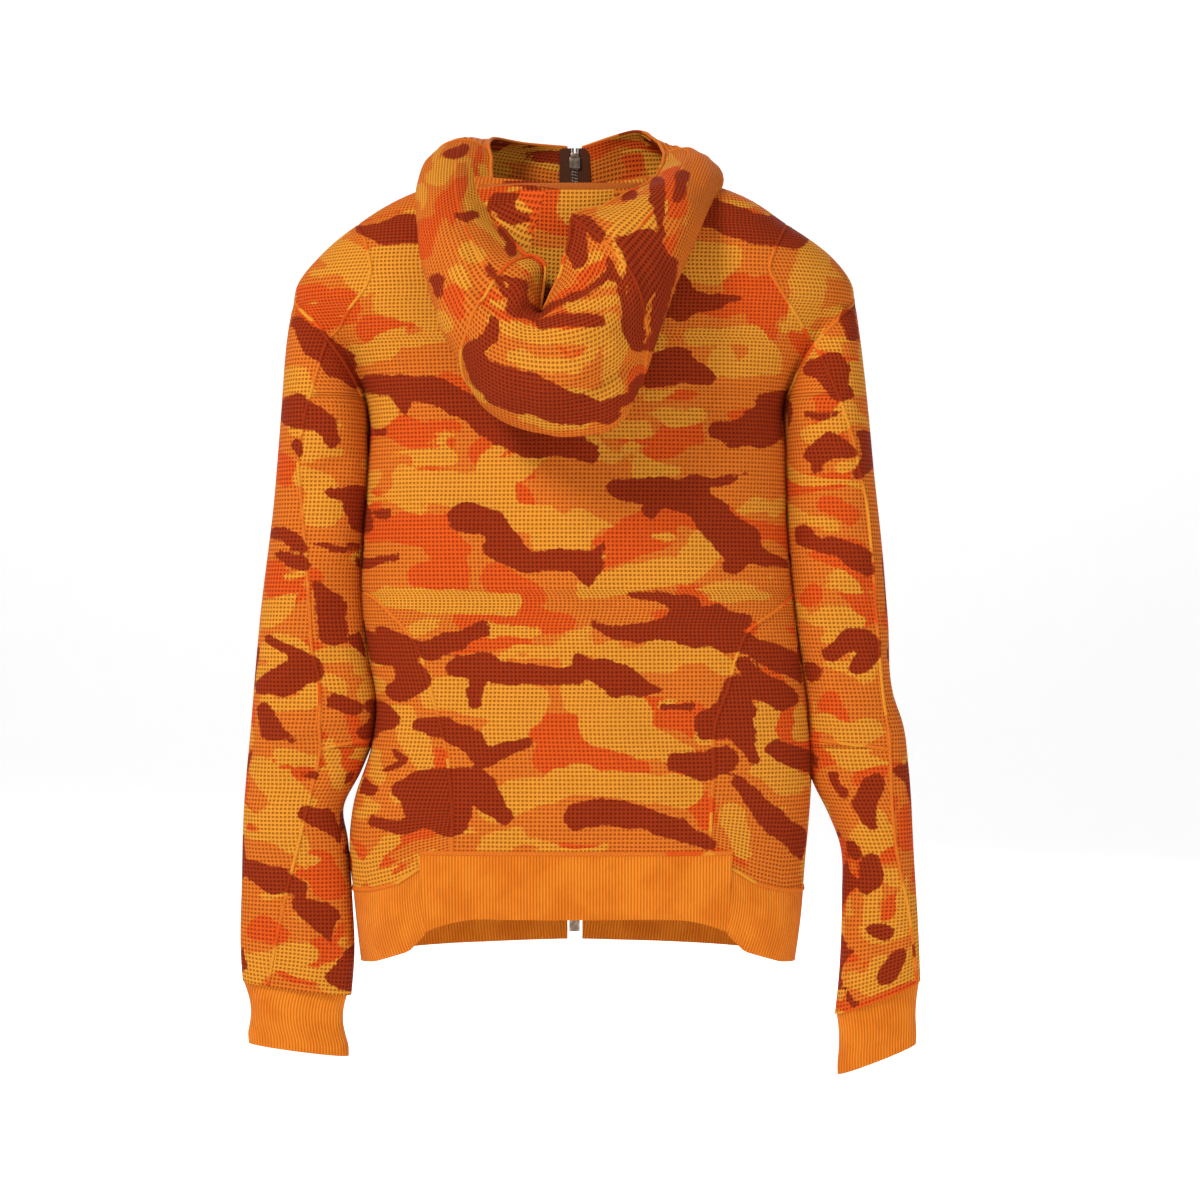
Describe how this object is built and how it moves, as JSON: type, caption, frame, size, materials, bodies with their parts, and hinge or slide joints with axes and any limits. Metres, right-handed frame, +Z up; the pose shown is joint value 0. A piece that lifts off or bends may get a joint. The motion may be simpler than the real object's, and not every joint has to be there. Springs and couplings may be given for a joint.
{
  "type": "hooded zip jacket",
  "caption": "Waffle-knit hooded jacket in blaze orange camouflage, with a full-length metal zip, rib-knit cuffs and hem band, hanging by its shoulders.",
  "frame": {"origin": "middle of the neck, level with the nape seam, where the jacket is held up", "axes": "+X to the wearer's right, +Y to the front with the zip, +Z up"},
  "size_m": [0.5876, 0.266, 0.806],
  "materials": {
    "waffle_knit": "matt waffle knit printed in four oranges",
    "rib_knit": "matt ribbed knit, plain orange",
    "neck_binding": "matt woven tape",
    "zip_tape": "matt woven tape, dark brown",
    "zip_metal": "darkened metal"
  },
  "bodies": {
    "torso": {"back_panel": "waffle_knit", "front_panel_left": "waffle_knit", "front_panel_right": "waffle_knit", "side_panel_left": "waffle_knit", "side_panel_right": "waffle_knit", "shoulder_patch_left": "waffle_knit", "shoulder_patch_right": "waffle_knit", "hood_front_left": "waffle_knit", "hood_front_right": "waffle_knit", "hem_band_left": "rib_knit", "hem_band_right": "rib_knit", "hem_band_back": "rib_knit", "neck_tape": "neck_binding", "pocket_bag_left": "waffle_knit", "pocket_bag_right": "waffle_knit", "pocket_welt_left": "rib_knit", "pocket_welt_right": "rib_knit", "zip_tape_left": "zip_tape", "zip_tape_right": "zip_tape", "zip_teeth_left": "zip_metal", "zip_teeth_right": "zip_metal", "zip_top_stop_left": "zip_metal", "zip_top_stop_right": "zip_metal", "zip_pin": "zip_metal", "zip_retainer_box": "zip_metal"},
    "left_sleeve": {"sleeve_outer_left": "waffle_knit", "sleeve_under_left": "waffle_knit", "sleeve_forearm_left": "waffle_knit", "cuff_left": "rib_knit"},
    "right_sleeve": {"sleeve_outer_right": "waffle_knit", "sleeve_under_right": "waffle_knit", "sleeve_forearm_right": "waffle_knit", "cuff_right": "rib_knit"},
    "hood": {"hood_panel_left": "waffle_knit", "hood_panel_centre": "waffle_knit", "hood_panel_right": "waffle_knit", "hood_facing": "waffle_knit"},
    "slider": {"zip_slider": "zip_metal"},
    "pull": {"zip_pull": "zip_metal"}
  },
  "joints": [
    {"name": "left_sleeve_swing", "type": "hinge", "parent": "torso", "child": "left_sleeve", "pos_m": [-0.244, 0, -0.088], "axis": [0, 1, 0], "range_deg": [0, 70]},
    {"name": "right_sleeve_swing", "type": "hinge", "parent": "torso", "child": "right_sleeve", "pos_m": [0.244, 0, -0.088], "axis": [0, -1, 0], "range_deg": [0, 70]},
    {"name": "hood_lift", "type": "hinge", "parent": "torso", "child": "hood", "pos_m": [0, -0.07235, 0.0065], "axis": [-1, 0, 0], "range_deg": [0, 130]},
    {"name": "zip_slide", "type": "slide", "parent": "torso", "child": "slider", "axis": [0, 0, -1], "range_m": [0, 0.681]},
    {"name": "pull_swing", "type": "hinge", "parent": "slider", "child": "pull", "pos_m": [0, 0.0852, 0.0482], "axis": [1, 0, 0], "range_deg": [0, 160]}
  ]
}
